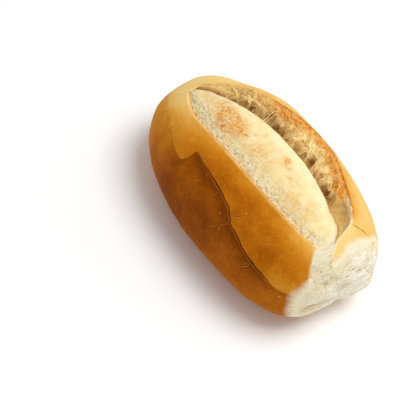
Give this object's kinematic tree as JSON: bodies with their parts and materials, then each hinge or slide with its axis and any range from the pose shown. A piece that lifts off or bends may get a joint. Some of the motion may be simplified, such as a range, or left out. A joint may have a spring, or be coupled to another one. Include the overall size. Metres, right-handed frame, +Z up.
{
  "type": "french bread roll",
  "caption": "Oval crusty bread roll with a flat base, one long slash burst open under a raised ear, and pale torn ends.",
  "frame": {"origin": "middle of the flat base, at the centre of the roll's length and width", "axes": "+X along the roll towards the broad torn end, +Y towards the raised ear of the slash, +Z up"},
  "size_m": [0.1291, 0.0771, 0.0565],
  "materials": {
    "crust": "baked crust, semi-matte, browned from golden to deep brown"
  },
  "bodies": {
    "root": {"bread_roll": "crust"}
  },
  "joints": []
}
